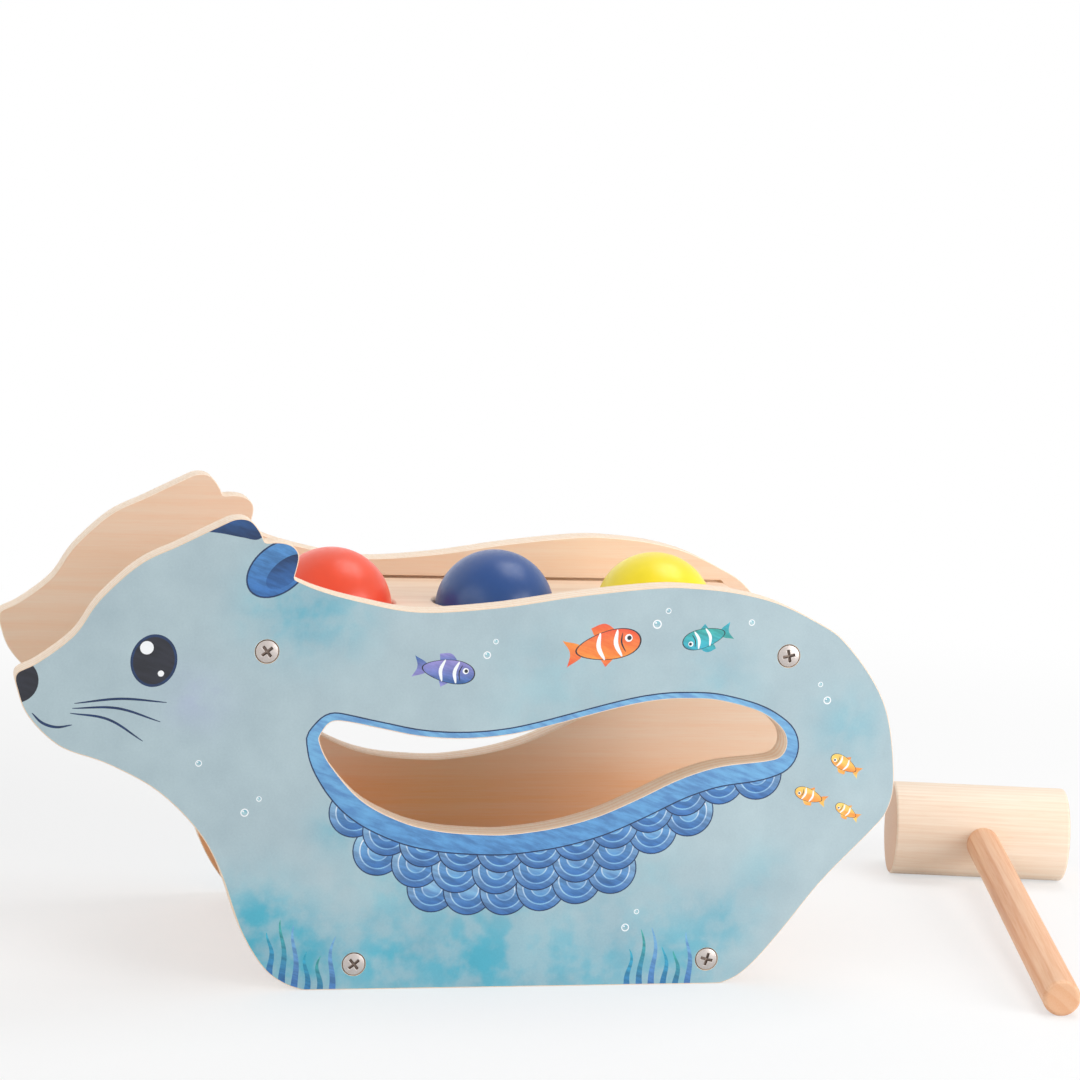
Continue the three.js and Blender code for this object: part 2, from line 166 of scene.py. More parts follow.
def equalSteps(line, step, withEnd=True):   # points at equal steps along a line
    run = np.concatenate([[0], np.cumsum(np.linalg.norm(np.diff(line, axis=0), axis=1))])
    stops = np.linspace(0, run[-1], int(run[-1] / step) + withEnd, endpoint=withEnd)
    return np.stack([np.interp(stops, run, line[:, 0]), np.interp(stops, run, line[:, 1])], 1)


def evenLoop(loop, step):   # equal steps along a loop, with its tightest corners eased
    even = equalSteps(np.concatenate([loop, loop[:1]]), step, withEnd=False)
    return (np.roll(even, 1, axis=0) + 2 * even + np.roll(even, -1, axis=0)) / 4


def ellipse(x, z, width, height=None, turn=0, steps=40):
    # centre plus (cos, sin) times the half sizes, turned
    a = np.arange(steps) * 2 * math.pi / steps
    flat = np.stack([np.cos(a) * width / 2, np.sin(a) * (height or width) / 2], 1)
    return turnFlat(flat, turn) + (x, z)


def turnFlat(points, degrees):
    c, s = math.cos(math.radians(degrees)), math.sin(math.radians(degrees))
    return np.asarray(points) @ np.array([[c, s], [-s, c]])


def roundedRectangle(width, height, corner, steps=6):   # four quarter circles, one at each corner
    quarter = np.repeat(np.arange(4), steps + 1)
    a = (quarter + np.tile(np.arange(steps + 1) / steps, 4)) * math.pi / 2
    side = np.array([(1, 1), (-1, 1), (-1, -1), (1, -1)])[quarter]
    return side * (width / 2 - corner, height / 2 - corner) + corner * np.stack([np.cos(a), np.sin(a)], 1)


def insideLoop(points, loop):   # odd number of edges crossed on the way to the right
    inside = []
    x0, z0 = loop.T
    x1, z1 = np.roll(loop, -1, axis=0).T
    rise = np.where(z1 == z0, 1e-12, z1 - z0)
    for part in np.array_split(points, len(points) // 4000 + 1):
        x, z = part[:, :1], part[:, 1:]
        crossed = ((z0 > z) != (z1 > z)) & (x < x0 + (z - z0) / rise * (x1 - x0))
        inside.append(crossed.sum(1) % 2 == 1)
    return np.concatenate(inside)


def fillLoops(loops, details=(), scattered=None):
    # triangles between the outer loop and the holes, with the edges of the details drawn into them
    lines = [*loops, *details]
    offsets = np.cumsum([0] + [len(line) for line in lines])
    edges = [np.stack([np.arange(len(line)), np.roll(np.arange(len(line)), -1)], 1) + start
             for line, start in zip(lines, offsets)]
    points = np.concatenate(lines if scattered is None else [*lines, scattered])
    found = delaunay_2d_cdt(points.tolist(), np.concatenate(edges).tolist(), [], 0, 1e-5)
    flat = np.array([point[:] for point in found[0]])
    triangles = np.array(found[2])
    centres = flat[triangles].mean(1)
    keep = insideLoop(centres, loops[0])
    for hole in loops[1:]:
        keep &= ~insideLoop(centres, hole)
    triangles = triangles[keep]
    a, b, c = flat[triangles].transpose(1, 2, 0)
    clockwise = (b[0] - a[0]) * (c[1] - a[1]) < (b[1] - a[1]) * (c[0] - a[0])
    triangles[clockwise] = triangles[clockwise][:, ::-1]
    used, triangles = np.unique(triangles, return_inverse=True)
    return flat[used], triangles.reshape(-1, 3)


# Surfaces

def gridQuads(rows, columns):   # quads between neighbouring rows, closed round the columns
    r = np.arange(rows - 1)[:, None] * columns
    c = np.arange(columns)[None, :]
    d = (c + 1) % columns
    return np.stack([r + c, r + d, r + columns + d, r + columns + c], -1).reshape(-1, 4)


def turnedGrid(radius, height, sides):
    # rows of circles: x = r cos a, y = r sin a, z = h; r and h are one value or one row of values a circle
    a = np.arange(sides) * 2 * math.pi / sides
    radius = np.asarray(radius, float).reshape(len(radius), -1) * np.ones(sides)
    height = np.asarray(height, float).reshape(len(height), -1) * np.ones(sides)
    rows = np.stack([radius * np.cos(a), radius * np.sin(a), height], -1)
    verts = np.concatenate([rows.reshape(-1, 3), rows[:1].mean(1), rows[-1:].mean(1)])
    count = len(rows) * sides
    ring = np.arange(sides)
    ahead = (ring + 1) % sides
    foot = np.stack([ahead, ring, np.full(sides, count)], 1)
    crown = np.stack([ring, ahead, np.full(sides, count + 1)], 1)
    crown[:, :2] += count - sides
    return verts, [dict(faces=gridQuads(len(rows), sides)), dict(faces=np.concatenate([foot, crown]))]


def placed(points, origin, axisX, axisY, axisZ):
    return np.asarray(origin) + points @ np.array([axisX, axisY, axisZ])


def roundedWall(thickness, rounding, steps=5):
    # section of a plate's edge as (outwards, depth): a quarter circle at each face and a flat between
    a = np.linspace(0, math.pi / 2, steps)
    out, drop = rounding * np.sin(a), rounding * (1 - np.cos(a))
    return np.concatenate([np.stack([out, drop], 1), np.stack([out, thickness - drop], 1)[::-1]])


def wallBetween(numbers):   # quads between rows of point numbers that run round a loop
    ahead = np.roll(numbers, -1, axis=1)
    return np.stack([numbers[:-1], numbers[1:], ahead[1:], ahead[:-1]], -1).reshape(-1, 4)


def capOn(rings):   # fills between loops whose points have numbers already
    points = np.concatenate([loop for loop, numbers in rings])
    flat, cap = fillLoops([loop for loop, numbers in rings])
    nearest = np.linalg.norm(flat[:, None] - points, axis=2).argmin(1)
    return np.concatenate([numbers for loop, numbers in rings])[nearest][cap]


def plate(rims, walls, details=(), scattered=None, pockets=()):
    # a flat cap within the rims, a wall carried along each rim, and a second cap within the walls' ends,
    # sunk where it has pockets; the local frame is (across, up, depth) with the first cap at depth 0
    flat, cap = fillLoops(rims, details, scattered)
    verts = [np.column_stack([flat, np.zeros(len(flat))])]
    count = len(flat)
    wallQuads = []
    ends = []
    for loop in chainLoops(cap):
        points = flat[loop]
        followed = [alongRim(points, rim) for rim in rims]
        owner = np.argmin([gap for gap, normal in followed])
        section, normal = walls[owner], followed[owner][1]
        rows = points[None] - normal[None] * section[1:, 0, None, None]
        depth = np.broadcast_to(section[1:, 1, None, None], (*rows.shape[:2], 1))
        verts.append(np.concatenate([rows, depth], 2).reshape(-1, 3))
        added = count + np.arange(rows.shape[0] * len(loop))
        numbers = np.concatenate([loop, added]).reshape(-1, len(loop))
        wallQuads.append(wallBetween(numbers))
        ends.append((rows[-1], numbers[-1]))
        count += len(added)
    ends.sort(key=lambda end: -np.ptp(end[0][:, 0]))
    thickness = walls[0][-1, 1]
    farCaps = []
    for loop, sunk in pockets:
        for depth in (thickness - sunk, thickness):
            verts.append(np.column_stack([loop, np.full(len(loop), depth)]))
        numbers = count + np.arange(2 * len(loop)).reshape(2, -1)
        wallQuads.append(wallBetween(numbers))
        farCaps.append(capOn([(loop[::-1], numbers[0][::-1])]))
        ends.append((loop, numbers[1]))
        count += 2 * len(loop)
    farCaps.append(capOn(ends))
    faceSets = [dict(faces=cap, smooth=False), dict(faces=np.concatenate(wallQuads), material=1),
                dict(faces=np.concatenate(farCaps)[:, ::-1], smooth=False, material=2)]
    return np.concatenate(verts), faceSets, flat


def signedVolume(verts, faces):
    fan = [verts[faces[:, [0, k, k + 1]]] for k in range(1, faces.shape[1] - 1)]
    a, b, c = np.concatenate(fan).transpose(1, 0, 2)
    return (a * np.cross(b, c)).sum() / 6


def addPiece(node, body, verts, faceSets, finishes):
    # one mesh for one node of the frame, with its faces turned outwards
    volume = sum(signedVolume(verts, part["faces"]) for part in faceSets)
    faces = []
    material = []
    smooth = []
    for part in faceSets:
        listed = part["faces"] if volume > 0 else part["faces"][:, ::-1]
        faces += listed.tolist()
        material += [min(part.get("material", 0), len(finishes) - 1)] * len(listed)
        smooth += [part.get("smooth", True)] * len(listed)
    mesh = bpy.data.meshes.new(node + "_finished")
    mesh.from_pydata((verts * mm).tolist(), [], faces)
    for finish in finishes:
        mesh.materials.append(finish)
    mesh.polygons.foreach_set("material_index", material)
    mesh.polygons.foreach_set("use_smooth", smooth)
    mesh.update()
    piece = bpy.data.objects.new(node + "_finished", mesh)
    bpy.context.scene.collection.objects.link(piece)
    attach(piece, body)
    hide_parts(node)
    return piece


def addSlab(node, body, rims, walls, place, finish):   # place: the origin and the three axes
    verts, faceSets, flat = plate(rims, walls)
    addPiece(node, body, placed(verts, *place), faceSets, [finish])


# Materials

def srgb(red, green, blue):   # screen levels 0-255 to linear light
    share = np.array([red, green, blue]) / 255
    return np.where(share <= 0.04045, share / 12.92, ((share + 0.055) / 1.055) ** 2.4)


def rgba(levels):
    return (*srgb(*levels), 1)


def newFinish(name):
    material = bpy.data.materials.new(name)
    material.use_nodes = True
    tree = material.node_tree
    return material, tree, tree.nodes["Principled BSDF"]


def plug(tree, socket, value):
    if isinstance(value, bpy.types.NodeSocket):
        tree.links.new(value, socket)
    else:
        socket.default_value = value


def addNode(tree, kind, inputs=(), **settings):
    made = tree.nodes.new("ShaderNode" + kind)
    for name, value in settings.items():
        setattr(made, name, value)
    for name, value in dict(inputs).items():
        plug(tree, made.inputs[name], value)
    return made


def objectPlace(tree):
    return addNode(tree, "TexCoord").outputs["Object"]


def stretched(tree, place, scale, turn=(0, 0, 0), centre=(0, 0, 0)):
    # first the piece's own axes, then the stretch along them
    local = addNode(tree, "Mapping", {"Vector": place, "Location": np.array(centre) * mm, "Rotation": turn},
                    vector_type="TEXTURE").outputs[0]
    return addNode(tree, "Mapping", {"Vector": local, "Scale": scale}, vector_type="POINT").outputs[0]


def noise(tree, place, scale, detail=3.0, roughness=0.55):
    inputs = {"Vector": place, "Scale": scale, "Detail": detail, "Roughness": roughness}
    return addNode(tree, "TexNoise", inputs).outputs[0]


def maths(tree, operation, *values):
    return addNode(tree, "Math", dict(enumerate(values)), operation=operation).outputs[0]


def spread(tree, value, low, high, to=(0.0, 1.0)):   # smooth step from low to high
    inputs = {"Value": value, "From Min": low, "From Max": high, "To Min": to[0], "To Max": to[1]}
    return addNode(tree, "MapRange", inputs, interpolation_type="SMOOTHSTEP").outputs[0]


def mixColour(tree, share, first, second, blend="MIX"):
    made = addNode(tree, "Mix", {0: share, 6: first, 7: second}, data_type="RGBA", blend_type=blend)
    return made.outputs[2]


def dress(tree, shader, colour, roughness):
    plug(tree, shader.inputs["Base Color"], colour)
    plug(tree, shader.inputs["Roughness"], roughness)


def addBump(tree, shader, height, strength, depth):   # depth in millimetres
    inputs = {"Height": height, "Strength": strength, "Distance": depth * mm}
    plug(tree, shader.inputs["Normal"], addNode(tree, "Bump", inputs).outputs[0])


brush = dict(scale=100, stretch=(1, 1, 5), turn=20, strength=0.36)


def printFinish():   # watercolour print under a satin lacquer; the mesh carries its colours
    material, tree, shader = newFinish("printed_face")
    place = objectPlace(tree)
    paint = addNode(tree, "Attribute", attribute_name="paint").outputs
    wash = addNode(tree, "Attribute", attribute_name="wash")
    slant = stretched(tree, place, brush["stretch"], (0, math.radians(brush["turn"]), 0))
    marks = spread(tree, noise(tree, slant, brush["scale"], 4, 0.6), 0.32, 0.68, (0.15, 0.85))
    dabs = spread(tree, noise(tree, place, 120, 3, 0.5), 0.34, 0.66, (0.4, 0.9))
    cloud = noise(tree, place, 42, 4, 0.6)
    grain = noise(tree, place, 1300, 2, 0.6)
    amount = maths(tree, "MULTIPLY", wash.outputs["Alpha"], dabs)
    colour = mixColour(tree, amount, paint["Color"], wash.outputs["Color"])
    painted = maths(tree, "MULTIPLY", paint["Alpha"], brush["strength"])   # no marks on the ground colour
    colour = mixColour(tree, painted, colour, marks, "OVERLAY")
    colour = mixColour(tree, 0.2, colour, cloud, "OVERLAY")
    colour = mixColour(tree, 0.09, colour, grain, "OVERLAY")
    dress(tree, shader, colour, spread(tree, cloud, 0.3, 0.7, (0.44, 0.56)))
    addBump(tree, shader, grain, 0.25, 0.05)
    return material


paintedShade = dict(edge=12, strength=0.58)   # how softly the painted shade begins, and how much darker it is


def woodFinish(name, light, dark, end, ringWidth=2.4, pith=(60, 25), grainAxis=(1, 0, 0), turn=(0, 0, 0),
               centre=(0, 0, 0), ring=0.3, fibre=0.25, streak=0.25, fleck=0.15, rough=0.5, shadeBelow=None):
    # growth rings round a pith line along the piece's own X, with fibres, streaks and short flecks;
    # below the given height the wood is painted darker and warmer: painted shade for the inside of the toy
    material, tree, shader = newFinish(name)
    place = objectPlace(tree)
    even, long, short, slow = [stretched(tree, place, (along, 1, 1), turn, centre)
                               for along in (1, 0.03, 0.12, 0.25)]
    drift = noise(tree, slow, 22, 3)
    axes = addNode(tree, "SeparateXYZ", {0: even}).outputs
    across = maths(tree, "ADD", axes["Y"], pith[0] * mm)
    above = maths(tree, "ADD", axes["Z"], pith[1] * mm)
    radius = maths(tree, "SQRT", maths(tree, "ADD", maths(tree, "MULTIPLY", across, across),
                                       maths(tree, "MULTIPLY", above, above)))
    wavy = maths(tree, "MULTIPLY_ADD", drift, 3.5 * mm, radius)
    year = maths(tree, "FRACT", maths(tree, "DIVIDE", wavy, ringWidth * mm))
    late = maths(tree, "MULTIPLY", spread(tree, year, 0.1, 0.8), spread(tree, year, 1.0, 0.85))
    fibres = noise(tree, long, 1500, 3, 0.6)
    flecks = spread(tree, noise(tree, short, 1100, 2, 0.5), 0.62, 0.72)
    streaks = maths(tree, "MULTIPLY_ADD", noise(tree, long, 330, 2), 0.5,
                    maths(tree, "MULTIPLY", noise(tree, long, 60, 2), 0.5))
    amount = maths(tree, "MULTIPLY", late, ring)
    amount = maths(tree, "MULTIPLY_ADD", spread(tree, fibres, 0.35, 0.7), fibre, amount)
    amount = maths(tree, "MULTIPLY_ADD", spread(tree, streaks, 0.38, 0.62), streak, amount)
    amount = maths(tree, "MULTIPLY_ADD", flecks, fleck, amount)
    if shadeBelow:
        # painted shade: the wood turns darker and warmer below the given height, along a wavering line
        edge = paintedShade["edge"]
        level = maths(tree, "MULTIPLY_ADD", drift, edge * mm, axes["Z"])
        shaded = spread(tree, level, (shadeBelow + edge) * mm, (shadeBelow - edge) * mm)
        amount = maths(tree, "MULTIPLY_ADD", shaded, paintedShade["strength"], amount)
    colour = mixColour(tree, amount, rgba(light), rgba(dark))
    normal = addNode(tree, "NewGeometry").outputs["Normal"]
    facing = addNode(tree, "VectorMath", {0: normal, 1: grainAxis}, operation="DOT_PRODUCT")
    endGrain = spread(tree, maths(tree, "ABSOLUTE", facing.outputs["Value"]), 0.75, 0.97)
    pores = spread(tree, noise(tree, place, 2600, 2), 0.42, 0.66, (0.0, 0.35))
    endColour = mixColour(tree, maths(tree, "MULTIPLY_ADD", late, 0.45, pores), rgba(end), rgba(dark))
    dress(tree, shader, mixColour(tree, endGrain, colour, endColour),
          spread(tree, fibres, 0.3, 0.7, (rough - 0.05, rough + 0.08)))
    addBump(tree, shader, fibres, 0.2, 0.08)
    return material


def plyFinish(inner, thickness, layers=7):   # veneers stacked through the panel's thickness, lying along Y
    material, tree, shader = newFinish("ply_edge")
    place = objectPlace(tree)
    depth = maths(tree, "ABSOLUTE", addNode(tree, "SeparateXYZ", {0: place}).outputs["Y"])
    wander = noise(tree, place, 60, 2)
    depth = maths(tree, "MULTIPLY_ADD", wander, 0.35 * mm, depth)
    layer = maths(tree, "MULTIPLY", maths(tree, "SUBTRACT", depth, inner * mm), layers / (thickness * mm))
    odd = maths(tree, "PINGPONG", layer, 1.0)
    crossGrain = spread(tree, odd, 0.44, 0.56)
    fibre = noise(tree, stretched(tree, place, (1, 0.15, 1)), 1400, 3)
    amount = maths(tree, "MULTIPLY_ADD", fibre, 0.4, maths(tree, "MULTIPLY", crossGrain, 0.3))
    dress(tree, shader, mixColour(tree, amount, rgba((254, 241, 224)), rgba((234, 190, 146))),
          spread(tree, fibre, 0.3, 0.7, (0.5, 0.64)))
    addBump(tree, shader, fibre, 0.2, 0.08)
    return material


def lacquerFinish(name, levels, rough=0.33, peelScale=520, peelDepth=0.05):   # faint orange peel
    material, tree, shader = newFinish(name)
    place = objectPlace(tree)
    cloud = noise(tree, place, 60, 3)
    peel = noise(tree, place, peelScale, 1)
    darker = tuple(0.9 * level for level in levels)
    share = spread(tree, cloud, 0.3, 0.75, (0.0, 0.4))
    dress(tree, shader, mixColour(tree, share, rgba(levels), rgba(darker)),
          spread(tree, peel, 0.3, 0.7, (rough - 0.03, rough + 0.05)))
    addBump(tree, shader, peel, 0.12, peelDepth)
    return material


def nickelFinish(name, light, dark, rough):
    material, tree, shader = newFinish(name)
    scuffs = noise(tree, objectPlace(tree), 900, 4, 0.65)
    dress(tree, shader, mixColour(tree, scuffs, rgba(light), rgba(dark)),
          spread(tree, scuffs, 0.3, 0.7, (rough - 0.08, rough + 0.12)))
    shader.inputs["Metallic"].default_value = 1.0
    addBump(tree, shader, scuffs, 0.15, 0.03)
    return material


def rubberFinish():
    material, tree, shader = newFinish("rubber")
    skin = noise(tree, objectPlace(tree), 900, 3)
    dress(tree, shader, mixColour(tree, skin, rgba((40, 38, 36)), rgba((66, 63, 60))),
          spread(tree, skin, 0.3, 0.7, (0.7, 0.9)))
    addBump(tree, shader, skin, 0.3, 0.06)
    return material


def feltFinish():
    material, tree, shader = newFinish("felt")
    place = objectPlace(tree)
    fuzz = noise(tree, place, 1900, 4, 0.7)
    cloud = noise(tree, place, 180, 3)
    shade = maths(tree, "MULTIPLY_ADD", fuzz, 0.6, maths(tree, "MULTIPLY", cloud, 0.4))
    dress(tree, shader, mixColour(tree, shade, rgba((196, 58, 50)), rgba((138, 28, 30))), 0.95)
    shader.inputs["Sheen Weight"].default_value = 0.4
    addBump(tree, shader, fuzz, 0.7, 0.25)
    return material


# Printed design, drawn in millimetres on the panel's face: a plain sea pattern in the panel's blues
palette = dict(
    ground=(172, 192, 199), pale=(158, 198, 222), sky=(118, 172, 214), blue=(84, 142, 198),
    deep=(52, 104, 168), navy=(26, 50, 88), ink=(34, 36, 46), teal=(56, 170, 194), aqua=(128, 192, 206),
    white=(246, 248, 250), coral=(238, 92, 64), orange=(246, 150, 66), lilac=(150, 142, 204),
    yellow=(248, 214, 112), green=(64, 168, 160),
)


def stroke(points, width, steps=8):   # brush line that swells in the middle and thins to its ends
    line = smoothLoop(points, steps, 90, closed=False)
    share = np.linspace(0, 1, len(line))[:, None]
    along = np.gradient(line, axis=0)
    along /= np.linalg.norm(along, axis=1, keepdims=True)
    swell = 0.25 + 0.75 * np.sin(share * math.pi) ** 0.7
    side = np.stack([-along[:, 1], along[:, 0]], 1) * width / 2 * swell
    return np.concatenate([line + side, (line - side)[::-1]])


def paintArea(shape, colour, fade=None):   # one colour, or a fade downwards to a second
    return dict(shape=np.asarray(shape, float), colour=colour, fade=fade or colour)


def fish(x, z, length, turn, body, fin):
    # lens-shaped body, x = cos a with z = 0.43 sin a, fuller at the head; a two-lobed tail and two fins lie
    # under it, and bands, gill and eye on it, all in half lengths
    lens = ellipse(0, 0, 2)
    lens[:, 1] = 0.43 * lens[:, 1] * (1 + 0.25 * lens[:, 0])
    tail = smoothLoop([(-0.8, 0.05), (-1.38, 0.42), (-1.22, 0), (-1.38, -0.42), (-0.8, -0.05)], 6, 75)
    back = smoothLoop([(0.35, 0.36), (0.0, 0.68), (-0.45, 0.62), (-0.36, 0.25)], 6, 75)
    belly = smoothLoop([(0.2, -0.36), (-0.2, -0.64), (-0.38, -0.24)], 6, 75)
    parts = [(tail, fin, body), (back, body, fin), (belly, fin, body), (1.05 * lens, "ink", None),
             (lens, body, fin)]
    for edge in (0.3, -0.25):
        band = stroke([(edge + 0.06, 0.42), (edge - 0.06, 0), (edge + 0.06, -0.42)], 0.14)
        parts.append((band, "white", None))
    parts += [(stroke([(0.5, 0.3), (0.42, 0), (0.5, -0.3)], 0.05), "ink", None),
              (ellipse(0.66, 0.1, 0.24, steps=20), "white", None),
              (ellipse(0.68, 0.1, 0.14, steps=16), "ink", None)]
    return [paintArea(turnFlat(shape * length / 2, turn) + (x, z), colour, fade)
            for shape, colour, fade in parts]


def scallop(x, z, size):   # a traditional wave: a disc that deepens downwards, with two pale rings in it
    shades = [(1.0, "navy", None), (0.955, "pale", "deep"), (0.74, "white", "sky"), (0.69, "sky", "deep"),
              (0.42, "white", "sky"), (0.37, "pale", "blue")]
    return [paintArea(ellipse(x, z, size * share), colour, fade) for share, colour, fade in shades]


def bubble(x, z, size):
    return [paintArea(ellipse(x, z, size, steps=24), "white"),
            paintArea(ellipse(x, z, size * 0.72, steps=24), "aqua", "ground"),
            paintArea(ellipse(x - 0.15 * size, z + 0.15 * size, size * 0.22, steps=12), "white")]


def frond(x, z, height, colour):   # ribbon that sways in even waves and narrows to its tip
    t = np.linspace(0, 1, 24)[:, None]
    middle = np.concatenate([x + 1.5 * t * np.sin(6 * t + 0.08 * x), z + height * t], 1)
    half = np.concatenate([1.25 * (1 - t) ** 0.7 + 0.1, 0 * t], 1)
    return [paintArea(np.concatenate([middle + half, (middle - half)[::-1]]), colour, "deep")]


waves = dict(rows=[(21, -34, 34), (13, -54, 62), (5, -64, 88)],   # drop, start and end
             size=19, pitch=13.5, facing=0.25, thinRim=2.2, deepRim=5.2, deepFrom=0.3, line=0.5, ease=24)


def waveRows(cutOut):   # rows of scallops at equal steps along lines parallel to the cut-out's lower edge
    normal = leftNormals(cutOut)
    below = normal[:, 1] < -waves["facing"]
    order = np.argsort(cutOut[below, 0])
    areas = []
    for drop, start, end in waves["rows"]:
        line = (cutOut + normal * drop)[below][order]
        line = line[(line[:, 0] > start) & (line[:, 0] < end)]
        for x, z in equalSteps(line, waves["pitch"]):
            areas += scallop(x, z, waves["size"])
    under = np.clip(waves["deepFrom"] - normal[:, 1], 0, 1)   # the rim is deepest under the cut-out
    ease = np.hanning(2 * waves["ease"])
    under = np.convolve(np.tile(under, 3), ease / ease.sum(), "same")[len(under):-len(under)]
    reach = waves["thinRim"] + waves["deepRim"] * under[:, None]
    return areas + [paintArea(cutOut + normal * (reach + waves["line"]), "navy"),
                    paintArea(cutOut + normal * reach, "sky", "blue")]


face = dict(   # the ears and the nose run off the edge of the panel
    farEar=[(-124, 167.5), (-115, 166.8), (-107, 165.4), (-101.5, 164.8), (-98, 176), (-118, 180)],
    rounds=[   # ellipse, colour and fade: ear, nose and eye
        ((-94, 154.5, 26, 17.5, 40), "navy", None), ((-94, 154.5, 24.8, 16.3, 40), "blue", "deep"),
        ((-91.2, 153.4, 17, 8.6, 40), "navy", "deep"), ((-185, 113.5, 16, 16, 20), "ink", None),
        ((-137, 121, 16.5, 19, -8), "navy", None), ((-137, 121, 14.6, 17, -8), "ink", None),
        ((-139.6, 125.6, 4.8), "white", None), ((-134.4, 116.4, 2.2), "white", None)],
    whiskers=[((-132, 106), 1.5), ((-134, 99), 2.5), ((-140, 92), 3)],   # end and rise
    whiskerRoot=(-165, 104), whiskerLevel=100, whiskerFan=(0.1, 0.25),
    mouth=[(-179, 102), (-175.5, 98.6), (-170.5, 97), (-165, 97.8)],
)
shoal = [   # place, length, turn, body and fin
    (28, 128, 24, 12, "coral", "orange"), (-31, 118, 19, -8, "lilac", "deep"),
    (64, 131, 16, 196, "green", "teal"), (121, 84, 11, 150, "yellow", "orange"),
    (108, 72, 11, 160, "yellow", "orange"), (123, 66, 9, 150, "yellow", "orange"),
]
bubbles = [   # place and size
    (46, 136, 3.4), (50, 141, 2.2), (-17, 124, 2.8), (-14, 129, 2), (82, 137, 2.4), (113, 108, 3),
    (110, 114, 2), (40, 22, 3), (44, 28, 2), (-103, 66, 3), (-98, 71, 2), (-120, 84, 2.4),
]
weed = dict(clumps=[-92, 42], fronds=6, pitch=4.6, height=15, swell=11, sunk=3.0,
            chestFoot=-79, chestSlope=0.62,   # the panel's edge rises towards the chest
            colours=("teal", "green", "sky"))


def faceAreas():
    areas = [paintArea(smoothLoop(face["farEar"], 8, 80), "deep", "navy")]
    areas += [paintArea(ellipse(*size), colour, fade) for size, colour, fade in face["rounds"]]
    for end, rise in face["whiskers"]:   # they start close together and fan out
        start = np.array(face["whiskerRoot"]) + np.array(face["whiskerFan"]) * (end[1] - face["whiskerLevel"])
        middle = (start + end) / 2 + (0, rise)
        areas.append(paintArea(stroke([start, middle, end], 0.9, 12), "navy"))
    return areas + [paintArea(stroke(face["mouth"], 1.0), "navy")]


def seaDesign(cutOut):
    areas = faceAreas() + waveRows(cutOut)
    for one in shoal:
        areas += fish(*one)
    for one in bubbles:
        areas += bubble(*one)
    for root in weed["clumps"]:
        for k in range(weed["fronds"]):
            x = root + weed["pitch"] * k
            foot = max(0, -weed["chestSlope"] * (x - weed["chestFoot"])) - weed["sunk"]
            height = weed["height"] + weed["swell"] * math.sin(0.75 * k + 0.4) ** 2
            areas += frond(x, foot, height, weed["colours"][k % len(weed["colours"])])
    return areas


washSpots = [   # soft blooms of colour: place, spread, colour and strength
    ((-98, 24), 17, "teal", 1.0), ((-84, 10), 17, "teal", 1.0), ((-52, 10), 18, "teal", 0.75),
    ((-14, 10), 28, "teal", 1.0), ((28, 8), 18, "teal", 0.7), ((62, 10), 18, "teal", 0.8),
    ((80, 26), 12, "teal", 0.5), ((92, 44), 10, "aqua", 0.4), ((-92, 141), 15, "teal", 0.6),
    ((-74, 138), 16, "teal", 0.5), ((-70, 60), 9, "teal", 0.5), ((122, 98), 14, "teal", 0.45),
    ((-50, 40), 14, "aqua", 0.6), ((44, 40), 16, "aqua", 0.4), ((-122, 108), 11, "lilac", 0.3),
    ((10, 112), 22, "aqua", 0.35), ((70, 112), 16, "teal", 0.3),
]

# Side panels
panel = dict(flatness=0.01, edge=0.35, step=1.0, grid=2.2, margin=3,
             lip=0.1, seatGap=0.35, seatRim=0.9, headDepth=2.9, seatSides=48,
             grooveGap=1.0, grooveTall=4.0, grooveDeep=3.0, grooveRound=0.49)
screw = dict(headRadius=4.0, shankRadius=2.0, rim=0.6, headDepth=2.6, dome=0.5, tip=2.5, point=0.05,
             arm=2.3, armWidth=0.9, recess=1.3, sideEase=0.18, endEase=0.25, endRise=0.4,
             sides=96, rings=44, innermost=0.02)
screwTurns = dict(upper_head=38, upper_tail=12, lower_head=40, lower_tail=75)   # degrees


def panelLoops():   # outline and cut-out, read from the face of the frame's front panel
    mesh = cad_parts["front_side_panel"].data
    points = np.round(meshPoints(mesh), 3)
    level = points[:, 1].min()
    corners = points[cornerNumbers(mesh)].reshape(-1, 3, 3)
    onFace = corners[(corners[:, :, 1] - level < panel["flatness"]).all(1)]
    flat, triangles = np.unique(onFace[:, :, [0, 2]].reshape(-1, 2), axis=0, return_inverse=True)
    loops = chainLoops(triangles.reshape(-1, 3))
    loops = sorted((flat[loop] for loop in loops), key=lambda loop: -np.ptp(loop[:, 0]))
    return [evenLoop(smoothLoop(loop, 6), panel["step"]) for loop in loops[:2]]


def panelWalls(thickness):   # rounded edges, and countersunk seats for the screws
    wall = roundedWall(thickness, panel["edge"])
    lip = panel["lip"]
    bore = lip + screw["headRadius"] - screw["shankRadius"]
    seat = np.array([(0, 0), (lip, lip), (lip, panel["seatRim"]), (bore, panel["headDepth"]),
                     (bore, thickness)])
    return [wall, wall] + [seat] * len(screwTurns)


